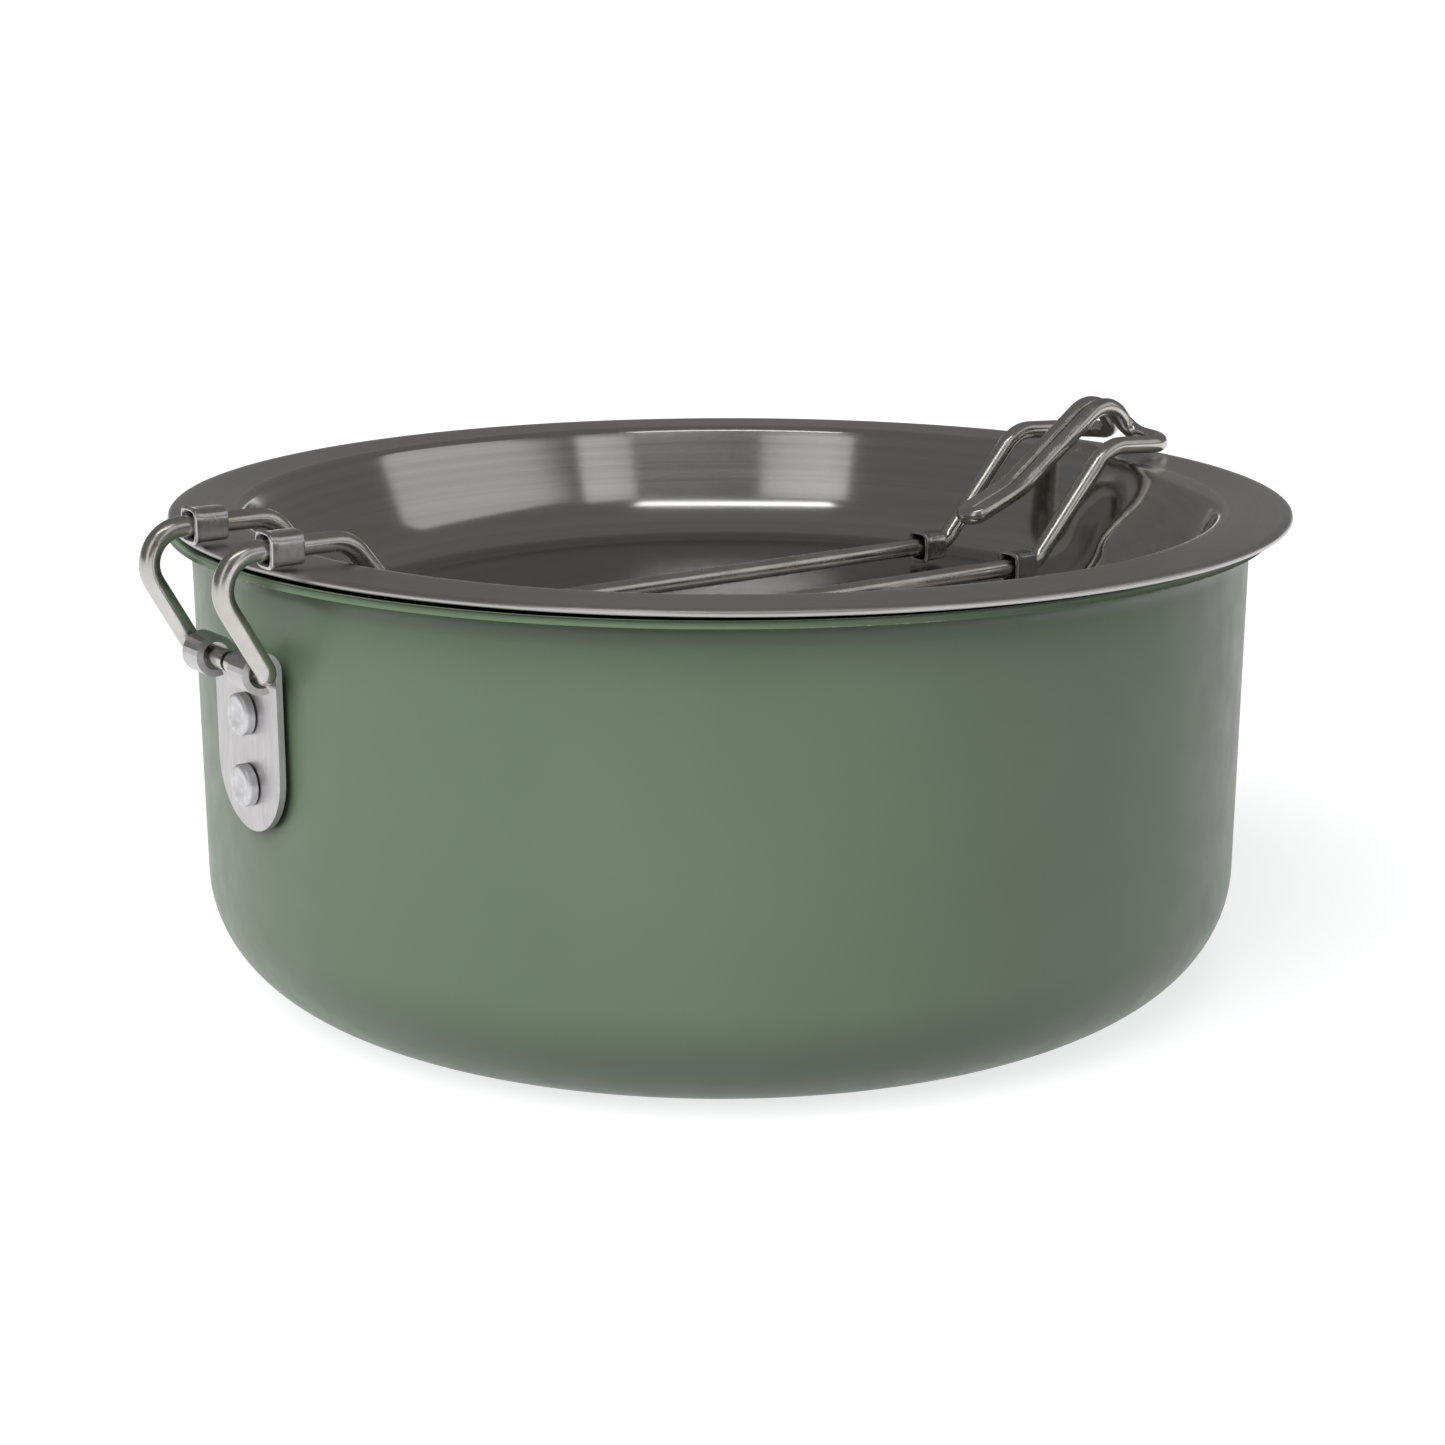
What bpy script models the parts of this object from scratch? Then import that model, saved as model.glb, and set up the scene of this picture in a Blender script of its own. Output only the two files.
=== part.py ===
"""Camping pot with a shallow pan nested in its mouth and a long folding wire handle.

The pot stands on z = 0 with its axis on the Z axis. The handle's bracket is on the -X side of the wall,
and the stowed handle crosses the pan towards +X, so the handle is symmetric about the XZ plane.
Lengths are in metres; MM turns millimetres into metres.
"""
import math

import bmesh
import bpy
from mathutils import Vector

MM = 0.001
COLLECTION = "camp_pot_with_pan"
CUTTERS = "cutters"
CLEARANCE = 0.3 * MM

# Pot: a drawn steel shell with a flared lip and a large bottom radius.
POT_RADIUS_TOP = 108.3 * MM
POT_RADIUS_BOTTOM = 107.8 * MM
POT_THICKNESS = 1.4 * MM
POT_CORNER_RADIUS = 23.8 * MM
LIP_UNDERSIDE = 94.4 * MM
LIP_FLARE = 4.8 * MM
TURN_STEPS = 64

# Pan: a shallow stainless dish whose flat rim rests on the pot's lip.
PAN_THICKNESS = 1.3 * MM
PAN_RIM_TOP = 97.7 * MM
PAN_RIM_RADIUS = 115.0 * MM
PAN_RIM_INNER = 101.5 * MM
PAN_FLOOR = 73.2 * MM
PAN_EDGE_FILLET = 2.0 * MM
PAN_FLOOR_FILLET = 15.0 * MM
PAN_WALL_SLOPE = math.radians(65.0)
PAN_SHIFT = 2.5 * MM
DENT_AZIMUTH = math.radians(-24.8)
DENT_HALF_WIDTH = math.radians(24.0)
DENT_DEPTH_EDGE = 5.0 * MM
DENT_DEPTH_WALL = 12.0 * MM
DENT_INNER_RADIUS = 66.0 * MM

# Bracket: a riveted plate with two curled knuckles that hold the ends of the handle's wire.
PLATE_THICKNESS = 1.3 * MM
PLATE_HALF_WIDTH = 12.4 * MM
PLATE_BOTTOM = 45.0 * MM
PLATE_BACK = 108.8 * MM
HINGE_HEIGHT = 78.0 * MM
KNUCKLE_RADIUS = 4.0 * MM
KNUCKLE_INNER_EDGE = 6.2 * MM
CURL_SWEEP = math.radians(290.0)
HINGE_DISTANCE = PLATE_BACK + KNUCKLE_RADIUS

# Rivets through the plate and the pot's wall.
RIVET_HEIGHTS = {"rivet_upper": 67.8 * MM, "rivet_lower": 54.0 * MM}
RIVET_HEAD_RADIUS = 4.1 * MM
RIVET_HEAD_HEIGHT = 2.0 * MM
RIVET_SHANK_RADIUS = 2.0 * MM
RIVET_BACK_RADIUS = 3.6 * MM
RIVET_BACK_HEIGHT = 1.4 * MM

# Handle: 4 mm wire in five lengths, joined by four pressed sleeves.
WIRE_RADIUS = 2.0 * MM
WIRE_HALF_SPACING = 15.2 * MM
OVER_RIM_HEIGHT = 101.5 * MM
RUN_HEIGHT = 77.3 * MM
ELBOW_CORNER = 126.1 * MM
DESCENT_TOP = 95.6 * MM
DESCENT_FOOT = 77.2 * MM
RISE_FOOT = 74.5 * MM
RISE_TOP = 95.9 * MM
LOOP_END = 115.5 * MM
LOOP_END_HEIGHT = 100.4 * MM
TONGUE_HALF_SPACING = 2.2 * MM
OUTER_JOIN = -109.0 * MM
INNER_JOIN = 70.0 * MM

# Sleeves: flattened sheet tubes with one flared mouth, turned towards the hinge.
SLEEVE_WIDTH = 5.9 * MM
SLEEVE_HEIGHT = 6.4 * MM
SLEEVE_WALL = 0.8 * MM
SLEEVE_FLARE = 0.45 * MM
SLEEVE_SPANS = {"outer": (-112.8 * MM, -106.0 * MM), "inner": (67.0 * MM, 72.9 * MM)}

STEEL = (0.60, 0.59, 0.58, 1.0)
ALUMINIUM = (0.72, 0.72, 0.74, 1.0)
GREEN = (0.13, 0.19, 0.12, 1.0)


def clear_scene():
    for obj in list(bpy.data.objects):
        bpy.data.objects.remove(obj, do_unlink=True)


def make_collection(name):
    collection = bpy.data.collections.new(name)
    bpy.context.scene.collection.children.link(collection)
    return collection


def make_material(name, colour, roughness, metallic):
    material = bpy.data.materials.new(name)
    material.use_nodes = True
    shader = material.node_tree.nodes["Principled BSDF"]
    shader.inputs["Base Color"].default_value = colour
    shader.inputs["Roughness"].default_value = roughness
    shader.inputs["Metallic"].default_value = metallic
    return material


def add_object(name, data, collection, material=None, parent=None):
    obj = bpy.data.objects.new(name, data)
    collection.objects.link(obj)
    if material is not None:
        data.materials.append(material)
    obj.parent = parent
    return obj


def add_cutter(name, data, collection):
    cutter = add_object(name, data, collection)
    cutter.hide_render = True
    cutter.display_type = "WIRE"
    return cutter


def add_boolean(obj, cutter, operation):
    modifier = obj.modifiers.new(cutter.name, "BOOLEAN")
    modifier.operation = operation
    modifier.solver = "EXACT"
    modifier.object = cutter


def smooth(mesh, sharp_angle=35.0):
    mesh.shade_smooth()
    mesh.set_sharp_from_angle(angle=math.radians(sharp_angle))


def arc(centre, radius, start, end, count):
    """Points on an arc in a plane, from start to end, both included."""
    points = []
    for i in range(count + 1):
        angle = start + (end - start) * i / count
        points.append((centre[0] + radius * math.cos(angle), centre[1] + radius * math.sin(angle)))
    return points


def turned(name, profile, collection, material, steps=TURN_STEPS):
    """Surface swept by a profile of (radius, height) points, listed down its outer side."""
    mesh = bpy.data.meshes.new(name)
    vertices = [(radius, 0.0, height) for radius, height in profile]
    mesh.from_pydata(vertices, [(i, i + 1) for i in range(len(vertices) - 1)], [])
    obj = add_object(name, mesh, collection, material)
    screw = obj.modifiers.new("turn", "SCREW")
    screw.axis = "Z"
    screw.angle = math.tau
    screw.steps = steps
    screw.render_steps = steps
    screw.use_merge_vertices = True
    screw.merge_threshold = 0.00001
    screw.use_smooth_shade = True
    return obj


def add_solidify(obj, thickness, offset):
    solidify = obj.modifiers.new("sheet", "SOLIDIFY")
    solidify.thickness = thickness
    solidify.offset = offset
    solidify.use_even_offset = True


def evaluated_mesh(obj):
    """A plain mesh copy of an object as its modifiers leave it, welded where its caps are loose."""
    graph = bpy.context.evaluated_depsgraph_get()
    mesh = bpy.data.meshes.new_from_object(obj.evaluated_get(graph))
    work = bmesh.new()
    work.from_mesh(mesh)
    bmesh.ops.remove_doubles(work, verts=work.verts, dist=0.000001)
    work.to_mesh(mesh)
    work.free()
    return mesh


def outline_mesh(name, points, half_thickness, collection):
    """A flat outline in the object's XY plane, given a thickness along Z, as a mesh."""
    curve = bpy.data.curves.new(name, "CURVE")
    curve.dimensions = "2D"
    curve.fill_mode = "BOTH"
    curve.extrude = half_thickness
    spline = curve.splines.new("POLY")
    spline.points.add(len(points) - 1)
    for point, (x, y) in zip(spline.points, points):
        point.co = (x, y, 0.0, 1.0)
    spline.use_cyclic_u = True
    source = add_object(name, curve, collection)
    mesh = evaluated_mesh(source)
    bpy.data.objects.remove(source, do_unlink=True)
    return mesh


def cylinder_mesh(name, radius, depth, segments=32):
    mesh = bpy.data.meshes.new(name)
    work = bmesh.new()
    bmesh.ops.create_cone(work, cap_ends=True, segments=segments, radius1=radius, radius2=radius, depth=depth)
    work.to_mesh(mesh)
    work.free()
    return mesh


def box_mesh(name, low, high):
    mesh = bpy.data.meshes.new(name)
    work = bmesh.new()
    bmesh.ops.create_cube(work, size=1.0)
    centre = [(a + b) / 2 for a, b in zip(low, high)]
    size = [b - a for a, b in zip(low, high)]
    bmesh.ops.scale(work, vec=size, verts=work.verts)
    bmesh.ops.translate(work, vec=centre, verts=work.verts)
    work.to_mesh(mesh)
    work.free()
    return mesh


def rounded_path(corners, arc_points=6):
    """Points along straight runs whose corners (x, y, z, radius) are rounded by arcs."""
    places = [Vector(corner[:3]) for corner in corners]
    path = [places[0]]
    for i in range(1, len(places) - 1):
        corner = places[i]
        back = (places[i - 1] - corner).normalized()
        ahead = (places[i + 1] - corner).normalized()
        half_angle = back.angle(ahead) / 2
        radius = corners[i][3]
        centre = corner + (back + ahead).normalized() * (radius / math.sin(half_angle))
        tangent = radius / math.tan(half_angle)
        start = corner + back * tangent - centre
        end = corner + ahead * tangent - centre
        sweep = start.angle(end)
        for k in range(arc_points + 1):
            share = k / arc_points
            arm = (start * math.sin((1 - share) * sweep) + end * math.sin(share * sweep)) / math.sin(sweep)
            path.append(centre + arm)
    path.append(places[-1])
    return path


def make_wire(name, path, collection, material, pivot):
    curve = bpy.data.curves.new(name, "CURVE")
    curve.dimensions = "3D"
    curve.bevel_depth = WIRE_RADIUS
    curve.bevel_resolution = 2
    curve.use_fill_caps = True
    spline = curve.splines.new("POLY")
    spline.points.add(len(path) - 1)
    for point, place in zip(spline.points, path):
        point.co = (*(place - pivot.location), 1.0)
    return add_object(name, curve, collection, material, pivot)


def wall_radius(height):
    """Outer radius of the pot's slightly tapered wall."""
    share = (height - POT_CORNER_RADIUS) / (LIP_UNDERSIDE - LIP_FLARE - POT_CORNER_RADIUS)
    return POT_RADIUS_BOTTOM + (POT_RADIUS_TOP - POT_RADIUS_BOTTOM) * share


def make_pot(collection, cutters, material):
    lip_centre = (POT_RADIUS_TOP + LIP_FLARE, LIP_UNDERSIDE - LIP_FLARE)
    corner_centre = (POT_RADIUS_BOTTOM - POT_CORNER_RADIUS, POT_CORNER_RADIUS)
    profile = arc(lip_centre, LIP_FLARE, math.radians(90), math.radians(180), 5)
    profile += arc(corner_centre, POT_CORNER_RADIUS, 0.0, math.radians(-90), 8)
    profile += [(corner_centre[0] * 0.5, 0.0), (0.0, 0.0)]
    pot = turned("pot_shell", profile, collection, material)
    add_solidify(pot, POT_THICKNESS, -1.0)
    for name, height in RIVET_HEIGHTS.items():
        add_boolean(pot, make_rivet_cutter(name + "_hole", height, cutters), "DIFFERENCE")
    return pot


def make_rivet_cutter(name, height, cutters):
    mesh = cylinder_mesh(name, RIVET_SHANK_RADIUS + CLEARANCE, 20 * MM)
    cutter = add_cutter(name, mesh, cutters)
    cutter.rotation_euler = (0.0, math.radians(90), 0.0)
    cutter.location = (-PLATE_BACK, 0.0, height)
    return cutter


def pan_profile():
    """The pan's upper side, from the rim's outer edge to the middle of the floor."""
    edge_centre = (PAN_RIM_INNER, PAN_RIM_TOP - PAN_EDGE_FILLET)
    edge = arc(edge_centre, PAN_EDGE_FILLET, math.radians(90), math.radians(90) + PAN_WALL_SLOPE, 4)
    wall_top = edge[-1]
    foot_angle = PAN_WALL_SLOPE - math.radians(90)
    foot_height = PAN_FLOOR + PAN_FLOOR_FILLET * (1 + math.sin(foot_angle))
    run = (wall_top[1] - foot_height) / math.tan(PAN_WALL_SLOPE)
    foot_radius = wall_top[0] - run
    fillet_centre = (foot_radius - PAN_FLOOR_FILLET * math.cos(foot_angle), PAN_FLOOR + PAN_FLOOR_FILLET)
    wall = []
    for share in (0.33, 0.67):
        radius = wall_top[0] + (foot_radius - wall_top[0]) * share
        wall.append((radius, wall_top[1] + (foot_height - wall_top[1]) * share))
    foot = arc(fillet_centre, PAN_FLOOR_FILLET, foot_angle, math.radians(-90), 5)
    floor = [(DENT_INNER_RADIUS, PAN_FLOOR), (DENT_INNER_RADIUS * 0.5, PAN_FLOOR), (0.0, PAN_FLOOR)]
    return [(PAN_RIM_RADIUS, PAN_RIM_TOP)] + edge + wall + foot + floor


def dent_depth(radius, height):
    """How far the dent moves a point of the pan's wall towards the middle."""
    if radius <= DENT_INNER_RADIUS or radius > PAN_RIM_INNER + MM:
        return 0.0
    drop = min((PAN_RIM_TOP - height) / (0.6 * (PAN_RIM_TOP - PAN_FLOOR)), 1.0)
    ease = drop * drop * (3 - 2 * drop)
    depth = DENT_DEPTH_EDGE + (DENT_DEPTH_WALL - DENT_DEPTH_EDGE) * ease
    return depth * min((radius - DENT_INNER_RADIUS) / (14 * MM), 1.0)


def press_dent(mesh):
    """Press the rounded dent into the pan's wall on the side away from the hinge."""
    for vertex in mesh.vertices:
        radius = math.hypot(vertex.co.x, vertex.co.y)
        turn = math.atan2(vertex.co.y, vertex.co.x) - DENT_AZIMUTH
        if radius > 0 and abs(turn) < DENT_HALF_WIDTH:
            share = math.cos(turn / DENT_HALF_WIDTH * math.pi / 2) ** 2
            scale = 1 - dent_depth(radius, vertex.co.z) * share / radius
            vertex.co.x *= scale
            vertex.co.y *= scale


def make_pan(collection, material):
    surface = turned("pan_surface", pan_profile(), collection, None)
    mesh = evaluated_mesh(surface)
    bpy.data.objects.remove(surface, do_unlink=True)
    press_dent(mesh)
    smooth(mesh)
    pan = add_object("pan_shell", mesh, collection, material)
    pan.location = (PAN_SHIFT, 0.0, 0.0)
    add_solidify(pan, PAN_THICKNESS, 1.0)
    return pan


def bracket_profile():
    """Side view of the bent sheet: up the plate's back, round the curl and down its front."""
    centre = (-HINGE_DISTANCE, HINGE_HEIGHT)
    outer = arc(centre, KNUCKLE_RADIUS, 0.0, CURL_SWEEP, 20)
    inner = arc(centre, KNUCKLE_RADIUS - PLATE_THICKNESS, CURL_SWEEP, 0.0, 20)
    bottom = PLATE_BOTTOM - MM
    front = -(PLATE_BACK + PLATE_THICKNESS)
    return [(-PLATE_BACK, bottom)] + outer + inner + [(front, bottom)]


def plate_outline():
    """Front view of the plate: straight sides and a round bottom, open-ended above the knuckles."""
    centre = (0.0, PLATE_BOTTOM + PLATE_HALF_WIDTH)
    top = HINGE_HEIGHT + KNUCKLE_RADIUS + 2 * MM
    bottom = arc(centre, PLATE_HALF_WIDTH, math.radians(180), math.radians(360), 20)
    return bottom + [(PLATE_HALF_WIDTH, top), (-PLATE_HALF_WIDTH, top)]


def make_bracket(collection, cutters, material):
    upright = math.radians(90)
    mesh = outline_mesh("bracket_sheet", bracket_profile(), PLATE_HALF_WIDTH + MM, cutters)
    bracket = add_object("handle_bracket", mesh, collection, material)
    bracket.rotation_euler = (upright, 0.0, 0.0)
    outline = outline_mesh("plate_outline", plate_outline(), 12 * MM, cutters)
    trim = add_cutter("plate_outline", outline, cutters)
    trim.rotation_euler = (upright, 0.0, upright)
    trim.location = (-HINGE_DISTANCE, 0.0, 0.0)
    add_boolean(bracket, trim, "INTERSECT")
    low = (-HINGE_DISTANCE - 10 * MM, -KNUCKLE_INNER_EDGE, HINGE_HEIGHT - KNUCKLE_RADIUS - 0.5 * MM)
    high = (-HINGE_DISTANCE + 10 * MM, KNUCKLE_INNER_EDGE, HINGE_HEIGHT + 10 * MM)
    add_boolean(bracket, add_cutter("knuckle_gap", box_mesh("knuckle_gap", low, high), cutters), "DIFFERENCE")
    for name, height in RIVET_HEIGHTS.items():
        add_boolean(bracket, make_rivet_cutter(name + "_plate_hole", height, cutters), "DIFFERENCE")
    return bracket


def rivet_profile(height):
    """Half section of a rivet along its own axis, whose zero is at the plate's front face."""
    head = CLEARANCE + RIVET_HEAD_HEIGHT
    corner = 0.8 * MM
    wall_inside = wall_radius(height) - POT_THICKNESS - (PLATE_BACK + PLATE_THICKNESS)
    back = wall_inside - CLEARANCE
    top = [(0.0, head - 0.4 * MM), (0.5 * RIVET_HEAD_RADIUS, head - 0.3 * MM)]
    edge = arc((RIVET_HEAD_RADIUS - corner, head - corner), corner, math.radians(90), 0.0, 4)
    under = [(RIVET_HEAD_RADIUS, CLEARANCE), (RIVET_SHANK_RADIUS, CLEARANCE), (RIVET_SHANK_RADIUS, back)]
    low = back - RIVET_BACK_HEIGHT
    heel = [(RIVET_BACK_RADIUS, back), (RIVET_BACK_RADIUS, low + 0.5 * MM), (RIVET_BACK_RADIUS * 0.7, low)]
    return top + edge + under + heel + [(0.0, low)]


def make_rivet(name, height, collection, material):
    rivet = turned(name, rivet_profile(height), collection, material, 24)
    rivet.rotation_euler = (0.0, math.radians(-90), 0.0)
    rivet.location = (-(PLATE_BACK + PLATE_THICKNESS), 0.0, height)
    return rivet


def leg_path(side):
    """From the pin's inner end, out of the knuckle, up to the elbow and back over the rim."""
    y = side * WIRE_HALF_SPACING
    return rounded_path([
        (-HINGE_DISTANCE, side * 0.6 * MM, HINGE_HEIGHT),
        (-HINGE_DISTANCE, y, HINGE_HEIGHT, 2.3 * MM),
        (-ELBOW_CORNER, y, OVER_RIM_HEIGHT, 6.8 * MM),
        (OUTER_JOIN - CLEARANCE / 2, y, OVER_RIM_HEIGHT),
    ])


def run_path(side):
    """From the sleeve over the rim, down into the pan and along its floor."""
    y = side * WIRE_HALF_SPACING
    return rounded_path([
        (OUTER_JOIN + CLEARANCE / 2, y, OVER_RIM_HEIGHT),
        (-DESCENT_TOP, y, OVER_RIM_HEIGHT, 7 * MM),
        (-DESCENT_FOOT, y, RUN_HEIGHT, 8 * MM),
        (INNER_JOIN - CLEARANCE / 2, y, RUN_HEIGHT),
    ])


def loop_half(side):
    """From the inner sleeve up to the loop's end and back along one strand of the tongue."""
    y = side * WIRE_HALF_SPACING
    strand = side * TONGUE_HALF_SPACING
    return [
        (INNER_JOIN + CLEARANCE / 2, y, RUN_HEIGHT),
        (RISE_FOOT, y, RUN_HEIGHT, 6 * MM),
        (RISE_TOP, y, OVER_RIM_HEIGHT, 9 * MM),
        (LOOP_END, y, LOOP_END_HEIGHT, 6.0 * MM),
        (LOOP_END, strand, LOOP_END_HEIGHT + MM, 4.4 * MM),
        (108 * MM, strand, 110.4 * MM, 6.8 * MM),
        (82 * MM, strand, 91.6 * MM, 20 * MM),
        (68.5 * MM, strand, 86.5 * MM, 2.1 * MM),
    ]


def make_handle(collection, material, sleeve_material, pivot):
    for side, hand in ((-1, "right"), (1, "left")):
        make_wire("leg_wire_" + hand, leg_path(side), collection, material, pivot)
        make_wire("run_wire_" + hand, run_path(side), collection, material, pivot)
        for place, span in SLEEVE_SPANS.items():
            height = OVER_RIM_HEIGHT if place == "outer" else RUN_HEIGHT
            centre = (side * WIRE_HALF_SPACING, height)
            make_sleeve(f"sleeve_{place}_{hand}", span, centre, collection, sleeve_material, pivot)
    corners = loop_half(1) + loop_half(-1)[::-1]
    make_wire("loop_wire", rounded_path(corners), collection, material, pivot)


def make_sleeve(name, span, centre, collection, material, pivot):
    """A flattened tube along X: squared-off rings joined in a row, flared at the -X mouth."""
    length = span[1] - span[0]
    stations = ((0.0, SLEEVE_FLARE), (0.7 * MM, 0.5 * SLEEVE_FLARE), (1.4 * MM, 0.0), (length, 0.0))
    sides = 20
    vertices = []
    for along, flare in stations:
        for i in range(sides):
            angle = math.tau * i / sides
            square = (abs(math.cos(angle)) ** 3 + abs(math.sin(angle)) ** 3) ** (-1 / 3)
            across = math.cos(angle) * square * (SLEEVE_WIDTH / 2 + flare)
            up = math.sin(angle) * square * (SLEEVE_HEIGHT / 2 + flare)
            place = Vector((span[0] + along, centre[0] + across, centre[1] + up))
            vertices.append(place - pivot.location)
    faces = []
    for row in range(len(stations) - 1):
        for i in range(sides):
            ahead = (i + 1) % sides
            near = row * sides
            far = near + sides
            faces.append((near + i, near + ahead, far + ahead, far + i))
    mesh = bpy.data.meshes.new(name)
    mesh.from_pydata(vertices, [], faces)
    smooth(mesh)
    sleeve = add_object(name, mesh, collection, material, pivot)
    add_solidify(sleeve, SLEEVE_WALL, -1.0)
    return sleeve


def main():
    clear_scene()
    collection = make_collection(COLLECTION)
    cutters = make_collection(CUTTERS)
    make_pot(collection, cutters, make_material("pot_coat", GREEN, 0.4, 0.0))
    make_pan(collection, make_material("pan_steel", STEEL, 0.22, 1.0))
    make_bracket(collection, cutters, make_material("bracket_steel", STEEL, 0.3, 1.0))
    rivet_material = make_material("rivet_aluminium", ALUMINIUM, 0.45, 1.0)
    for name, height in RIVET_HEIGHTS.items():
        make_rivet(name, height, collection, rivet_material)
    pivot = add_object("handle_pivot", None, collection)
    pivot.location = (-HINGE_DISTANCE, 0.0, HINGE_HEIGHT)
    wire_material = make_material("wire_steel", STEEL, 0.25, 1.0)
    make_handle(collection, wire_material, make_material("sleeve_steel", STEEL, 0.2, 1.0), pivot)


main()
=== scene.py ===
import math

import bmesh
import bpy
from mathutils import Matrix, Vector


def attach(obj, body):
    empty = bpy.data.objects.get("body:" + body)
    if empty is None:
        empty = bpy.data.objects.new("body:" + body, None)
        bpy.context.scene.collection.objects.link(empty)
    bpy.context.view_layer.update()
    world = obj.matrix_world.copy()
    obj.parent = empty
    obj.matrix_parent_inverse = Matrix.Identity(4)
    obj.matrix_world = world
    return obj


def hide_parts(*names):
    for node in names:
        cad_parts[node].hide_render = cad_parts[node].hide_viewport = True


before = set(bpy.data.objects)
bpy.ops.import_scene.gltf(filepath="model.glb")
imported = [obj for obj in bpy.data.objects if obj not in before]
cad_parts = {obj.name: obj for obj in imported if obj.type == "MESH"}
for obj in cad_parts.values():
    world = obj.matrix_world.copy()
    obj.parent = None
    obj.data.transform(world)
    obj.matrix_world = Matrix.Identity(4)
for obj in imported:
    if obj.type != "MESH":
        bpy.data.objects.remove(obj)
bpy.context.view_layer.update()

MM = 0.001

# Pot, as in the CAD: radii from the axis and heights above the floor.
POT_RADIUS_TOP = 108.3 * MM
POT_RADIUS_BOTTOM = 107.8 * MM
POT_THICKNESS = 1.4 * MM
POT_CORNER_RADIUS = 23.8 * MM
LIP_UNDERSIDE = 94.4 * MM
LIP_FLARE = 4.8 * MM
LIP_RADIUS = POT_RADIUS_TOP + LIP_FLARE
WORN_EDGE = 0.4 * MM

# Pan.
PAN_THICKNESS = 1.3 * MM
PAN_RIM_TOP = 97.7 * MM
PAN_RIM_RADIUS = 115.0 * MM
PAN_RIM_INNER = 101.5 * MM
PAN_FLOOR = 73.2 * MM
PAN_EDGE_FILLET = 2.0 * MM
PAN_FLOOR_FILLET = 15.0 * MM
PAN_WALL_SLOPE = math.radians(65.0)
PAN_SHIFT = 2.5 * MM
DENT_AZIMUTH = math.radians(-24.8)
DENT_HALF_WIDTH = math.radians(24.0)
DENT_DEPTH_EDGE = 5.0 * MM
DENT_DEPTH_WALL = 12.0 * MM
DENT_INNER_RADIUS = 66.0 * MM
DENT_EASE_SHARE = 0.6
DENT_FADE_IN = 14 * MM
DENT_FADE_OUT = 8 * MM
DENT_RIM_MARGIN = 5 * MM
RIM_STEP = 1.9 * MM

# Bracket and rivets.
PLATE_THICKNESS = 1.3 * MM
PLATE_BACK = 108.8 * MM
HINGE_HEIGHT = 78.0 * MM
HINGE_DISTANCE = 112.8 * MM
RIVET_HEIGHTS = {"rivet_upper": 67.8 * MM, "rivet_lower": 54.0 * MM}
RIVET_HEAD_RADIUS = 4.1 * MM
RIVET_HEAD_HEIGHT = 2.0 * MM
RIVET_SHANK_RADIUS = 2.0 * MM
RIVET_BACK_RADIUS = 3.6 * MM
RIVET_BACK_HEIGHT = 1.4 * MM
RIVET_EDGE = 0.8 * MM
RIVET_HEEL = 0.5 * MM
CLEARANCE = 0.3 * MM
EASED_PLATE_EDGE = 0.25 * MM
EASED_SLEEVE_EDGE = 0.15 * MM

# Handle.
WIRE_RADIUS = 2.0 * MM
WIRE_HALF_SPACING = 15.2 * MM
OVER_RIM_HEIGHT = 101.5 * MM
RUN_HEIGHT = 77.3 * MM
ELBOW_CORNER = 126.1 * MM
DESCENT_TOP = 95.6 * MM
DESCENT_FOOT = 77.2 * MM
RISE_FOOT = 74.5 * MM
RISE_TOP = 95.9 * MM
LOOP_END = 115.5 * MM
LOOP_END_HEIGHT = 100.4 * MM
TONGUE_HALF_SPACING = 2.2 * MM
OUTER_JOIN = -109.0 * MM
INNER_JOIN = 70.0 * MM
SLEEVE_WIDTH = 5.9 * MM
SLEEVE_HEIGHT = 6.4 * MM
SLEEVE_WALL = 0.8 * MM
SLEEVE_FLARE = 0.45 * MM
SLEEVE_SPANS = {"outer": (-112.8 * MM, -106.0 * MM), "inner": (67.0 * MM, 72.9 * MM)}

# Steps round a turn: fine enough for the rims to look round.
TURN_STEPS = 256
ARC_STEPS = 14
RIVET_STEPS = 64
SLEEVE_SIDES = 48
FLOOR_STEPS = 96

# Studio. A box has a turn and an elevation in degrees, a distance, a width, a height and a radiance.
LIGHT_BOXES = {
    "high_front_box": (182, 59, 1.3, 1.0, 0.18, 3.0),
    "right_front_box": (141, 22, 1.5, 0.36, 1.2, 0.7),
    "left_front_box": (204, 22, 1.5, 0.6, 1.2, 0.8),
    "right_side_box": (100, 27, 1.6, 1.5, 0.8, 0.5),
}
LIGHT_AIM = Vector((0.0, 0.0, 0.08))
SUN_STRENGTH = 3.0
SUN_SPREAD = math.radians(60)
SUN_TURN = 218
SUN_ELEVATION = 44
FLOOR_RADIUS = 6.0
FLOOR_EDGE_HEIGHT = 0.45
FLOOR_EDGE_WIDTH = 0.2
FLOOR_DEPTH = 0.05
WORLD_STRENGTH = 0.18

# Camera: height and distance from the pot's axis, in the direction of the photograph.
CAMERA_TURN = math.radians(-126.3)
CAMERA_DISTANCE = 566.0 * MM
CAMERA_HEIGHT = 194.2 * MM
CAMERA_PITCH = math.radians(14.36)
CAMERA_SIDESTEP = 0.43 * MM
CAMERA_LENS = 68.66


def arc(centre, radius, start, end, count=ARC_STEPS):
    points = []
    for i in range(count + 1):
        angle = start + (end - start) * i / count
        points.append((centre[0] + radius * math.cos(angle), centre[1] + radius * math.sin(angle)))
    return points


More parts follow.
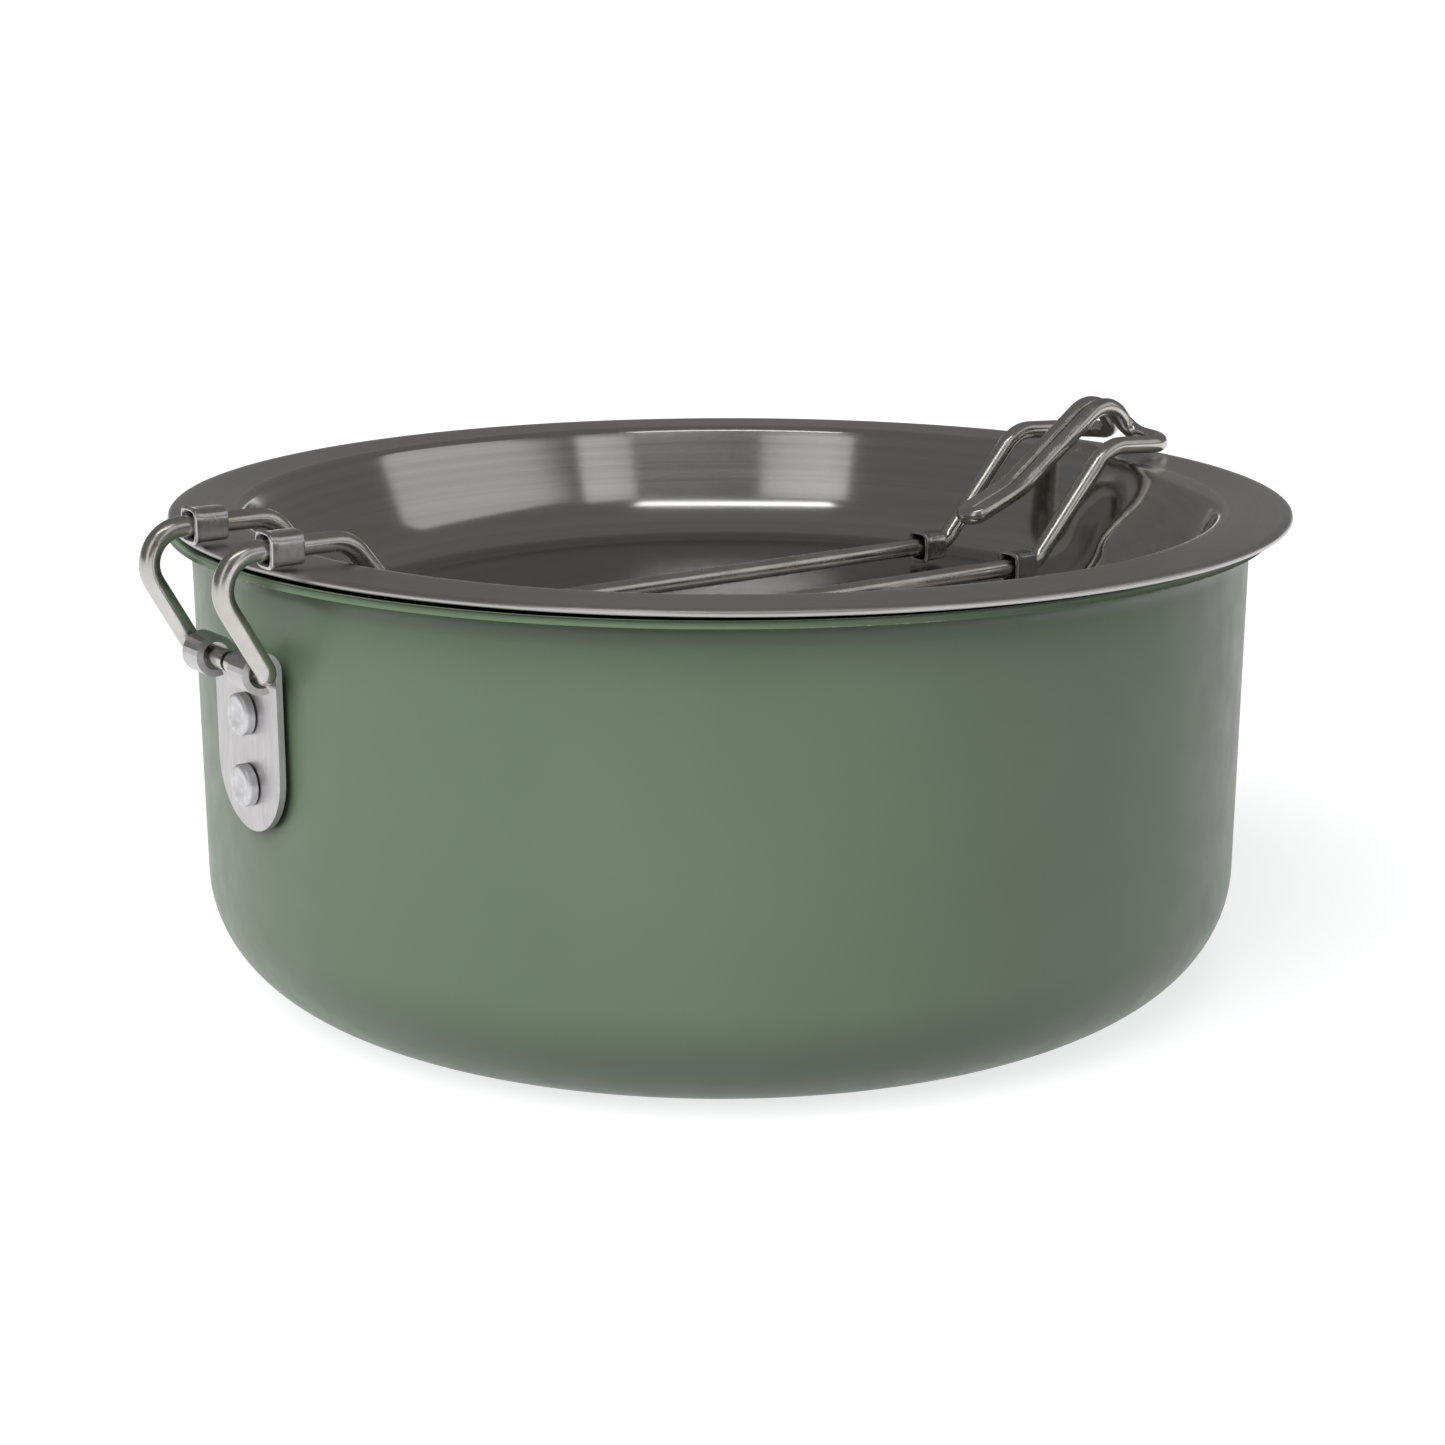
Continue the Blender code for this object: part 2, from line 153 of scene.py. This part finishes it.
def add_piece(node, data, body, material, location=(0.0, 0.0, 0.0), rotation=(0.0, 0.0, 0.0)):
    """A shown piece that stands for a CAD node and hides it, rides on a body and takes the given material."""
    piece = bpy.data.objects.new(node + "_shown", data)
    piece.location = location
    piece.rotation_euler = rotation
    bpy.context.scene.collection.objects.link(piece)
    data.materials.append(material)
    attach(piece, body)
    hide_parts(node)
    return piece


def turned_mesh(name, profile, steps=TURN_STEPS):
    """A closed section of (radius, height) points spun about Z; points on the axis become poles."""
    work = bmesh.new()
    rings = []
    for radius, height in profile:
        if radius < 1e-9:
            rings.append([work.verts.new((0.0, 0.0, height))])
            continue
        ring = []
        for i in range(steps):
            angle = math.tau * i / steps
            ring.append(work.verts.new((radius * math.cos(angle), radius * math.sin(angle), height)))
        rings.append(ring)
    pairs = list(zip(rings, rings[1:]))
    if len(rings[0]) > 1:
        pairs.append((rings[-1], rings[0]))
    for low, high in pairs:
        for i in range(steps):
            ahead = (i + 1) % steps
            corners = [low[i % len(low)], low[ahead % len(low)], high[ahead % len(high)], high[i % len(high)]]
            corners = list(dict.fromkeys(corners))
            if len(corners) > 2:
                work.faces.new(corners)
    bmesh.ops.recalc_face_normals(work, faces=work.faces)
    mesh = bpy.data.meshes.new(name)
    work.to_mesh(mesh)
    work.free()
    mesh.shade_smooth()
    return mesh


def thick_section(line, thickness):
    """A line of (radius, height) points listed down its outer side, closed into a sheet's section.

    The sheet's free edge is rounded; the other end is on the axis.
    """
    normals = []
    for i in range(len(line)):
        before = Vector(line[max(i - 1, 0)])
        after = Vector(line[min(i + 1, len(line) - 1)])
        along = (after - before).normalized()
        normals.append(Vector((along.y, -along.x)))
    inner = [Vector(point) + normal * thickness for point, normal in zip(line, normals)]
    inner[-1].x = 0.0
    middle = (Vector(line[0]) + inner[0]) / 2
    spoke = Vector(line[0]) - middle
    nose = []
    for i in range(1, 6):
        angle = math.pi * i / 6
        turned = Vector((
            spoke.x * math.cos(angle) + spoke.y * math.sin(angle),
            -spoke.x * math.sin(angle) + spoke.y * math.cos(angle),
        ))
        nose.append(middle + turned)
    section = [tuple(point) for point in reversed(inner)] + [tuple(p) for p in reversed(nose)]
    return section + [tuple(point) for point in line]


def rounded_path(corners, arc_points=ARC_STEPS):
    """Points along straight runs whose corners (x, y, z, radius) are rounded by arcs."""
    places = [Vector(corner[:3]) for corner in corners]
    path = [places[0]]
    for i in range(1, len(places) - 1):
        corner = places[i]
        back = (places[i - 1] - corner).normalized()
        ahead = (places[i + 1] - corner).normalized()
        half_angle = back.angle(ahead) / 2
        radius = corners[i][3]
        centre = corner + (back + ahead).normalized() * (radius / math.sin(half_angle))
        tangent = radius / math.tan(half_angle)
        start = corner + back * tangent - centre
        end = corner + ahead * tangent - centre
        sweep = start.angle(end)
        for k in range(arc_points + 1):
            share = k / arc_points
            arm = (start * math.sin((1 - share) * sweep) + end * math.sin(share * sweep)) / math.sin(sweep)
            path.append(centre + arm)
    path.append(places[-1])
    return path


# Materials.

def new_material(name):
    material = bpy.data.materials.new(name)
    material.use_nodes = True
    tree = material.node_tree
    return material, tree, tree.nodes["Principled BSDF"]


def noise(tree, scale, detail=2.0, stretch=(1.0, 1.0, 1.0), source=None):
    """A noise pattern in the piece's own coordinates, in features per metre."""
    mapping = tree.nodes.new("ShaderNodeMapping")
    mapping.inputs["Scale"].default_value = stretch
    if source is None:
        source = tree.nodes.new("ShaderNodeTexCoord").outputs["Object"]
    tree.links.new(source, mapping.inputs["Vector"])
    texture = tree.nodes.new("ShaderNodeTexNoise")
    texture.inputs["Scale"].default_value = scale
    texture.inputs["Detail"].default_value = detail
    tree.links.new(mapping.outputs["Vector"], texture.inputs["Vector"])
    return texture.outputs["Fac"]


def ramp(tree, source, low, high, low_value, high_value):
    """Maps a pattern from low..high to two values, numbers or colours, without going past either."""
    node = tree.nodes.new("ShaderNodeMapRange")
    node.inputs["From Min"].default_value = low
    node.inputs["From Max"].default_value = high
    tree.links.new(source, node.inputs["Value"])
    if isinstance(low_value, tuple):
        mix = tree.nodes.new("ShaderNodeMix")
        mix.data_type = "RGBA"
        mix.inputs["A"].default_value = (*low_value, 1.0)
        mix.inputs["B"].default_value = (*high_value, 1.0)
        tree.links.new(node.outputs["Result"], mix.inputs["Factor"])
        return mix.outputs["Result"]
    node.inputs["To Min"].default_value = low_value
    node.inputs["To Max"].default_value = high_value
    return node.outputs["Result"]


def math_node(tree, operation, first, second):
    node = tree.nodes.new("ShaderNodeMath")
    node.operation = operation
    for value, socket in zip((first, second), node.inputs):
        if isinstance(value, (int, float)):
            socket.default_value = value
        else:
            tree.links.new(value, socket)
    return node.outputs["Value"]


def bump(tree, shader, height, distance, strength=1.0):
    node = tree.nodes.new("ShaderNodeBump")
    node.inputs["Distance"].default_value = distance
    node.inputs["Strength"].default_value = strength
    tree.links.new(height, node.inputs["Height"])
    tree.links.new(node.outputs["Normal"], shader.inputs["Normal"])


def turned_coordinates(tree):
    """The vector (distance from the Z axis, height) of a point, for turned patterns, and the distance."""
    place = tree.nodes.new("ShaderNodeTexCoord").outputs["Object"]
    split = tree.nodes.new("ShaderNodeSeparateXYZ")
    tree.links.new(place, split.inputs["Vector"])
    flat = tree.nodes.new("ShaderNodeCombineXYZ")
    tree.links.new(split.outputs["X"], flat.inputs["X"])
    tree.links.new(split.outputs["Y"], flat.inputs["Y"])
    length = tree.nodes.new("ShaderNodeVectorMath")
    length.operation = "LENGTH"
    tree.links.new(flat.outputs["Vector"], length.inputs[0])
    joined = tree.nodes.new("ShaderNodeCombineXYZ")
    tree.links.new(length.outputs["Value"], joined.inputs["X"])
    tree.links.new(split.outputs["Z"], joined.inputs["Y"])
    return joined.outputs["Vector"], length.outputs["Value"]


def pot_material():
    """Green baked coat: faint cloudiness, fine grain, and bare bright specks where the lip is knocked."""
    material, tree, shader = new_material("pot_coat")
    _, radius = turned_coordinates(tree)
    cloud = noise(tree, 14.0, 3.0)
    colour = ramp(tree, cloud, 0.35, 0.65, (0.128, 0.182, 0.117), (0.146, 0.203, 0.134))
    on_edge = ramp(tree, radius, LIP_RADIUS - WORN_EDGE, LIP_RADIUS, 0.0, 1.0)
    chips = ramp(tree, noise(tree, 700.0, 4.0), 0.52, 0.60, 0.0, 1.0)
    patches = ramp(tree, noise(tree, 26.0, 2.0), 0.44, 0.56, 0.0, 1.0)
    worn = math_node(tree, "MULTIPLY", math_node(tree, "MULTIPLY", chips, patches), on_edge)
    mix = tree.nodes.new("ShaderNodeMix")
    mix.data_type = "RGBA"
    mix.inputs["B"].default_value = (0.62, 0.60, 0.55, 1.0)
    tree.links.new(worn, mix.inputs["Factor"])
    tree.links.new(colour, mix.inputs["A"])
    tree.links.new(mix.outputs["Result"], shader.inputs["Base Color"])
    tree.links.new(math_node(tree, "MULTIPLY", worn, 0.9), shader.inputs["Metallic"])
    tree.links.new(ramp(tree, noise(tree, 160.0, 3.0), 0.3, 0.7, 0.34, 0.42), shader.inputs["Roughness"])
    shader.inputs["Specular IOR Level"].default_value = 0.45
    bump(tree, shader, noise(tree, 1500.0, 2.0), 0.00002, 0.5)
    return material


def pan_material():
    """Polished steel with fine turned lines round the axis and a faint change of tone across them."""
    material, tree, shader = new_material("pan_steel")
    vector, radius = turned_coordinates(tree)
    fine = noise(tree, 5200.0, 2.0, source=vector)
    broad = noise(tree, 420.0, 3.0, source=vector)
    smudge = noise(tree, 30.0, 3.0)
    colour = ramp(tree, broad, 0.3, 0.7, (0.45, 0.44, 0.435), (0.53, 0.515, 0.51))
    tree.links.new(colour, shader.inputs["Base Color"])
    lines = ramp(tree, fine, 0.3, 0.7, 0.10, 0.17)
    gloss = math_node(tree, "ADD", lines, ramp(tree, smudge, 0.3, 0.7, -0.01, 0.03))
    on_rim = ramp(tree, radius, PAN_RIM_INNER - MM, PAN_RIM_INNER + MM, 0.0, 0.2)
    tree.links.new(math_node(tree, "ADD", gloss, on_rim), shader.inputs["Roughness"])
    shader.inputs["Metallic"].default_value = 1.0
    tangent = tree.nodes.new("ShaderNodeTangent")
    tangent.direction_type = "RADIAL"
    tangent.axis = "Z"
    tree.links.new(tangent.outputs["Tangent"], shader.inputs["Tangent"])
    shader.inputs["Anisotropic"].default_value = 0.75
    shader.inputs["Anisotropic Rotation"].default_value = 0.25
    bump(tree, shader, fine, 0.000004, 0.6)
    return material


def sheet_material(name, low, high, rough, grain=(1.0, 1.0, 1.0)):
    """Satin sheet steel with a fine rolled grain and small scuffs."""
    material, tree, shader = new_material(name)
    lines = noise(tree, 900.0, 3.0, grain)
    tree.links.new(ramp(tree, lines, 0.3, 0.7, low, high), shader.inputs["Base Color"])
    scuffs = noise(tree, 240.0, 4.0)
    tree.links.new(ramp(tree, scuffs, 0.3, 0.7, rough - 0.05, rough + 0.06), shader.inputs["Roughness"])
    shader.inputs["Metallic"].default_value = 1.0
    bump(tree, shader, lines, 0.00002, 0.4)
    return material


def wire_material():
    """Drawn stainless wire, a little warm, with faint draw marks and dull patches here and there."""
    material, tree, shader = new_material("wire_steel")
    marks = noise(tree, 700.0, 4.0, (0.25, 1.0, 1.0))
    dull = noise(tree, 120.0, 3.0)
    colour = ramp(tree, dull, 0.35, 0.65, (0.50, 0.475, 0.44), (0.60, 0.58, 0.555))
    tree.links.new(colour, shader.inputs["Base Color"])
    tree.links.new(ramp(tree, marks, 0.3, 0.7, 0.14, 0.30), shader.inputs["Roughness"])
    shader.inputs["Metallic"].default_value = 1.0
    bump(tree, shader, marks, 0.00003, 0.35)
    return material


def rivet_material():
    """Cast-looking aluminium: pale, matte, with small pits left by setting."""
    material, tree, shader = new_material("rivet_aluminium")
    pits = noise(tree, 800.0, 4.0)
    colour = ramp(tree, pits, 0.3, 0.7, (0.60, 0.595, 0.62), (0.74, 0.735, 0.75))
    tree.links.new(colour, shader.inputs["Base Color"])
    tree.links.new(ramp(tree, pits, 0.3, 0.7, 0.52, 0.40), shader.inputs["Roughness"])
    shader.inputs["Metallic"].default_value = 0.85
    bump(tree, shader, pits, 0.00012, 0.5)
    return material


# Pot.

def pot_line():
    lip_centre = (LIP_RADIUS, LIP_UNDERSIDE - LIP_FLARE)
    corner_centre = (POT_RADIUS_BOTTOM - POT_CORNER_RADIUS, POT_CORNER_RADIUS)
    line = arc(lip_centre, LIP_FLARE, math.radians(90), math.radians(180))
    foot = arc(corner_centre, POT_CORNER_RADIUS, 0.0, math.radians(-90), 24)
    for i in range(1, 12):
        share = i / 12
        radius = POT_RADIUS_TOP + (POT_RADIUS_BOTTOM - POT_RADIUS_TOP) * share
        line.append((radius, lip_centre[1] + (corner_centre[1] - lip_centre[1]) * share))
    return line + foot + [(corner_centre[0] * share, 0.0) for share in (0.8, 0.5, 0.25, 0.0)]


def make_pot(material):
    mesh = turned_mesh("pot_shell_shown", thick_section(pot_line(), POT_THICKNESS))
    add_piece("pot_shell", mesh, "pot", material)


# Pan.

def pan_line():
    edge_centre = (PAN_RIM_INNER, PAN_RIM_TOP - PAN_EDGE_FILLET)
    edge = arc(edge_centre, PAN_EDGE_FILLET, math.radians(90), math.radians(90) + PAN_WALL_SLOPE, 10)
    wall_top = edge[-1]
    foot_angle = PAN_WALL_SLOPE - math.radians(90)
    foot_height = PAN_FLOOR + PAN_FLOOR_FILLET * (1 + math.sin(foot_angle))
    foot_radius = wall_top[0] - (wall_top[1] - foot_height) / math.tan(PAN_WALL_SLOPE)
    fillet_centre = (foot_radius - PAN_FLOOR_FILLET * math.cos(foot_angle), PAN_FLOOR + PAN_FLOOR_FILLET)
    wall = []
    for i in range(1, 14):
        share = i / 14
        radius = wall_top[0] + (foot_radius - wall_top[0]) * share
        wall.append((radius, wall_top[1] + (foot_height - wall_top[1]) * share))
    foot = arc(fillet_centre, PAN_FLOOR_FILLET, foot_angle, math.radians(-90), 20)
    last = foot[-1][0]
    shares = (0.97, 0.94, 0.91, 0.88, 0.85, 0.82, 0.79, 0.7, 0.5, 0.25, 0.0)
    floor = [(last * share, PAN_FLOOR) for share in shares]
    rim = [(PAN_RIM_RADIUS - PAN_THICKNESS / 2 - i * RIM_STEP, PAN_RIM_TOP) for i in range(7)]
    return rim + edge + wall + foot + floor


def dent_depth(radius, height):
    """How far the dent moves a point of the pan's wall towards the middle."""
    if radius <= DENT_INNER_RADIUS:
        return 0.0
    drop = min(max((PAN_RIM_TOP - height) / (DENT_EASE_SHARE * (PAN_RIM_TOP - PAN_FLOOR)), 0.0), 1.0)
    ease = drop * drop * (3 - 2 * drop)
    depth = DENT_DEPTH_EDGE + (DENT_DEPTH_WALL - DENT_DEPTH_EDGE) * ease
    fade_in = min((radius - DENT_INNER_RADIUS) / DENT_FADE_IN, 1.0)
    fade_out = min(max((PAN_RIM_RADIUS - DENT_RIM_MARGIN - radius) / DENT_FADE_OUT, 0.0), 1.0)
    return depth * fade_in * fade_out * fade_out * (3 - 2 * fade_out)


def press_dent(mesh):
    for vertex in mesh.vertices:
        radius = math.hypot(vertex.co.x, vertex.co.y)
        turn = math.atan2(vertex.co.y, vertex.co.x) - DENT_AZIMUTH
        if radius > 0 and abs(turn) < DENT_HALF_WIDTH:
            share = math.cos(turn / DENT_HALF_WIDTH * math.pi / 2) ** 2
            scale = 1 - dent_depth(radius, vertex.co.z) * share / radius
            vertex.co.x *= scale
            vertex.co.y *= scale


def make_pan(material):
    mesh = turned_mesh("pan_shell_shown", thick_section(pan_line(), -PAN_THICKNESS))
    press_dent(mesh)
    add_piece("pan_shell", mesh, "pan", material, (PAN_SHIFT, 0.0, 0.0))


# Bracket and rivets.

def make_bracket(material):
    """The CAD bracket itself, with its cut edges eased."""
    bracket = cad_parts["handle_bracket"]
    bracket.data.materials.clear()
    bracket.data.materials.append(material)
    bracket.data.shade_smooth()
    bevel = bracket.modifiers.new("eased_edges", "BEVEL")
    bevel.width = EASED_PLATE_EDGE
    bevel.segments = 2
    bevel.limit_method = "ANGLE"
    bevel.angle_limit = math.radians(50)
    bevel.harden_normals = True


def rivet_section(height):
    share = (height - POT_CORNER_RADIUS) / (LIP_UNDERSIDE - LIP_FLARE - POT_CORNER_RADIUS)
    wall = POT_RADIUS_BOTTOM + (POT_RADIUS_TOP - POT_RADIUS_BOTTOM) * share
    back = wall - POT_THICKNESS - (PLATE_BACK + PLATE_THICKNESS) - CLEARANCE
    head = CLEARANCE + RIVET_HEAD_HEIGHT
    top = [(0.0, head - 0.45 * MM), (0.25 * RIVET_HEAD_RADIUS, head - 0.42 * MM)]
    top += [(0.45 * RIVET_HEAD_RADIUS, head - 0.25 * MM), (0.6 * RIVET_HEAD_RADIUS, head - 0.06 * MM)]
    edge = arc((RIVET_HEAD_RADIUS - RIVET_EDGE, head - RIVET_EDGE), RIVET_EDGE, math.radians(90), 0.0, 8)
    under = [(RIVET_HEAD_RADIUS, CLEARANCE), (RIVET_SHANK_RADIUS, CLEARANCE), (RIVET_SHANK_RADIUS, back)]
    low = back - RIVET_BACK_HEIGHT
    heel = [(RIVET_BACK_RADIUS, back), (RIVET_BACK_RADIUS, low + RIVET_HEEL), (RIVET_BACK_RADIUS * 0.7, low)]
    return top + edge + under + heel + [(0.0, low)]


def make_rivet(name, height, material):
    mesh = turned_mesh(name + "_shown", rivet_section(height), RIVET_STEPS)
    mesh.set_sharp_from_angle(angle=math.radians(40))
    location = (-(PLATE_BACK + PLATE_THICKNESS), 0.0, height)
    add_piece(name, mesh, "pot", material, location, (0.0, math.radians(-90), 0.0))


# Handle.

def make_wire(name, path, material):
    curve = bpy.data.curves.new(name + "_shown", "CURVE")
    curve.dimensions = "3D"
    curve.bevel_depth = WIRE_RADIUS
    curve.bevel_resolution = 6
    curve.use_fill_caps = True
    spline = curve.splines.new("POLY")
    spline.points.add(len(path) - 1)
    for point, place in zip(spline.points, path):
        point.co = (*place, 1.0)
    spline.use_smooth = True
    add_piece(name, curve, "handle", material)


def leg_path(side):
    y = side * WIRE_HALF_SPACING
    return rounded_path([
        (-HINGE_DISTANCE, side * 0.6 * MM, HINGE_HEIGHT),
        (-HINGE_DISTANCE, y, HINGE_HEIGHT, 2.3 * MM),
        (-ELBOW_CORNER, y, OVER_RIM_HEIGHT, 6.8 * MM),
        (OUTER_JOIN - CLEARANCE / 2, y, OVER_RIM_HEIGHT),
    ])


def run_path(side):
    y = side * WIRE_HALF_SPACING
    return rounded_path([
        (OUTER_JOIN + CLEARANCE / 2, y, OVER_RIM_HEIGHT),
        (-DESCENT_TOP, y, OVER_RIM_HEIGHT, 7 * MM),
        (-DESCENT_FOOT, y, RUN_HEIGHT, 8 * MM),
        (INNER_JOIN - CLEARANCE / 2, y, RUN_HEIGHT),
    ])


def loop_half(side):
    y = side * WIRE_HALF_SPACING
    strand = side * TONGUE_HALF_SPACING
    return [
        (INNER_JOIN + CLEARANCE / 2, y, RUN_HEIGHT),
        (RISE_FOOT, y, RUN_HEIGHT, 6 * MM),
        (RISE_TOP, y, OVER_RIM_HEIGHT, 9 * MM),
        (LOOP_END, y, LOOP_END_HEIGHT, 6.0 * MM),
        (LOOP_END, strand, LOOP_END_HEIGHT + MM, 4.4 * MM),
        (108 * MM, strand, 110.4 * MM, 6.8 * MM),
        (82 * MM, strand, 91.6 * MM, 20 * MM),
        (68.5 * MM, strand, 86.5 * MM, 2.1 * MM),
    ]


def make_sleeve(name, span, centre, material):
    """A flattened tube along X, flared at its -X mouth, with a wall's thickness and eased edges."""
    length = span[1] - span[0]
    stations = ((0.0, SLEEVE_FLARE), (0.5 * MM, 0.6 * SLEEVE_FLARE), (1.1 * MM, 0.2 * SLEEVE_FLARE))
    stations += ((1.8 * MM, 0.0), (length - 0.4 * MM, 0.0), (length, -0.05 * MM))
    work = bmesh.new()
    rings = []
    for along, flare in stations:
        ring = []
        for i in range(SLEEVE_SIDES):
            angle = math.tau * i / SLEEVE_SIDES
            square = (abs(math.cos(angle)) ** 4 + abs(math.sin(angle)) ** 4) ** (-1 / 4)
            across = math.cos(angle) * square * (SLEEVE_WIDTH / 2 + flare)
            up = math.sin(angle) * square * (SLEEVE_HEIGHT / 2 + flare)
            ring.append(work.verts.new((span[0] + along, centre[0] + across, centre[1] + up)))
        rings.append(ring)
    for near, far in zip(rings, rings[1:]):
        for i in range(SLEEVE_SIDES):
            ahead = (i + 1) % SLEEVE_SIDES
            work.faces.new((near[i], near[ahead], far[ahead], far[i]))
    mesh = bpy.data.meshes.new(name + "_shown")
    work.to_mesh(mesh)
    work.free()
    mesh.shade_smooth()
    sleeve = add_piece(name, mesh, "handle", material)
    solidify = sleeve.modifiers.new("sheet", "SOLIDIFY")
    solidify.thickness = SLEEVE_WALL
    solidify.offset = -1.0
    bevel = sleeve.modifiers.new("eased_edges", "BEVEL")
    bevel.width = EASED_SLEEVE_EDGE
    bevel.segments = 2
    bevel.limit_method = "ANGLE"
    bevel.angle_limit = math.radians(60)


def make_handle(material, sleeve_material):
    for side, hand in ((-1, "right"), (1, "left")):
        make_wire("leg_wire_" + hand, leg_path(side), material)
        make_wire("run_wire_" + hand, run_path(side), material)
        for place, span in SLEEVE_SPANS.items():
            height = OVER_RIM_HEIGHT if place == "outer" else RUN_HEIGHT
            make_sleeve(f"sleeve_{place}_{hand}", span, (side * WIRE_HALF_SPACING, height), sleeve_material)
    make_wire("loop_wire", rounded_path(loop_half(1) + loop_half(-1)[::-1]), material)


# Studio. Directions are given as turns from the camera's line of sight, looking from above.

def toward(turn, elevation, distance):
    """A place clockwise by a turn from the camera's far side, so that 180 is the camera's own side."""
    angle = CAMERA_TURN + math.pi - math.radians(turn)
    rise = math.radians(elevation)
    flat = distance * math.cos(rise)
    return Vector((flat * math.cos(angle), flat * math.sin(angle), distance * math.sin(rise))) + LIGHT_AIM


def add_light(name, light, place):
    """A light at a place, turned to the middle of the pan."""
    holder = bpy.data.objects.new(name, light)
    holder.location = place
    holder.rotation_mode = "QUATERNION"
    holder.rotation_quaternion = (LIGHT_AIM - place).to_track_quat("-Z", "Y")
    bpy.context.scene.collection.objects.link(holder)
    return holder


def make_floor():
    """A round white floor whose edge turns up far away, so that the view ends in white."""
    outside = FLOOR_RADIUS + FLOOR_EDGE_WIDTH
    edge = [(FLOOR_RADIUS, 0.0), (FLOOR_RADIUS, FLOOR_EDGE_HEIGHT), (outside, FLOOR_EDGE_HEIGHT)]
    profile = [(0.0, 0.0), *edge, (outside, -FLOOR_DEPTH), (0.0, -FLOOR_DEPTH)]
    mesh = turned_mesh("floor", profile, FLOOR_STEPS)
    floor = bpy.data.objects.new("floor", mesh)
    bpy.context.scene.collection.objects.link(floor)
    material, _, shader = new_material("floor_white")
    shader.inputs["Base Color"].default_value = (0.4, 0.4, 0.4, 1.0)
    shader.inputs["Roughness"].default_value = 1.0
    shader.inputs["Specular IOR Level"].default_value = 0.0
    shader.inputs["Emission Color"].default_value = (0.985, 0.99, 1.0, 1.0)
    shader.inputs["Emission Strength"].default_value = 0.75
    mesh.materials.append(material)
    floor.visible_diffuse = False


def make_lights():
    """Soft boxes, whose power follows from radiance and area, and a broad sun that steel doesn't mirror."""
    for name, (turn, elevation, distance, width, height, radiance) in LIGHT_BOXES.items():
        box = bpy.data.lights.new(name, "AREA")
        box.shape = "RECTANGLE"
        box.size = width
        box.size_y = height
        box.energy = radiance * width * height * math.pi
        add_light(name, box, toward(turn, elevation, distance))
    sun = bpy.data.lights.new("sky", "SUN")
    sun.angle = SUN_SPREAD
    sun.energy = SUN_STRENGTH
    add_light("sky", sun, toward(SUN_TURN, SUN_ELEVATION, 1.0)).visible_glossy = False


def make_world():
    world = bpy.data.worlds.new("studio")
    bpy.context.scene.world = world
    world.use_nodes = True
    background = world.node_tree.nodes["Background"]
    background.inputs["Color"].default_value = (1.0, 0.98, 0.96, 1.0)
    background.inputs["Strength"].default_value = WORLD_STRENGTH


def make_camera():
    camera = bpy.data.cameras.new("camera")
    camera.lens = CAMERA_LENS
    camera.sensor_width = 36.0
    camera.clip_start = 0.01
    holder = bpy.data.objects.new("camera", camera)
    back = Vector((math.cos(CAMERA_TURN), math.sin(CAMERA_TURN), 0.0))
    right = Vector((-back.y, back.x, 0.0))
    holder.location = back * CAMERA_DISTANCE + right * CAMERA_SIDESTEP + Vector((0.0, 0.0, CAMERA_HEIGHT))
    look = -back * math.cos(CAMERA_PITCH) - Vector((0.0, 0.0, math.sin(CAMERA_PITCH)))
    holder.rotation_mode = "QUATERNION"
    holder.rotation_quaternion = look.to_track_quat("-Z", "Y")
    bpy.context.scene.collection.objects.link(holder)
    bpy.context.scene.camera = holder


make_pot(pot_material())
make_pan(pan_material())
plate_grain = (1.0, 1.0, 0.2)
make_bracket(sheet_material("bracket_steel", (0.50, 0.488, 0.49), (0.58, 0.567, 0.57), 0.34, plate_grain))
rivet_finish = rivet_material()
for rivet_name, rivet_height in RIVET_HEIGHTS.items():
    make_rivet(rivet_name, rivet_height, rivet_finish)
make_handle(wire_material(), sheet_material("sleeve_steel", (0.48, 0.47, 0.47), (0.58, 0.57, 0.57), 0.24))
make_floor()
make_lights()
make_world()
make_camera()
bpy.context.scene.view_settings.view_transform = "Standard"
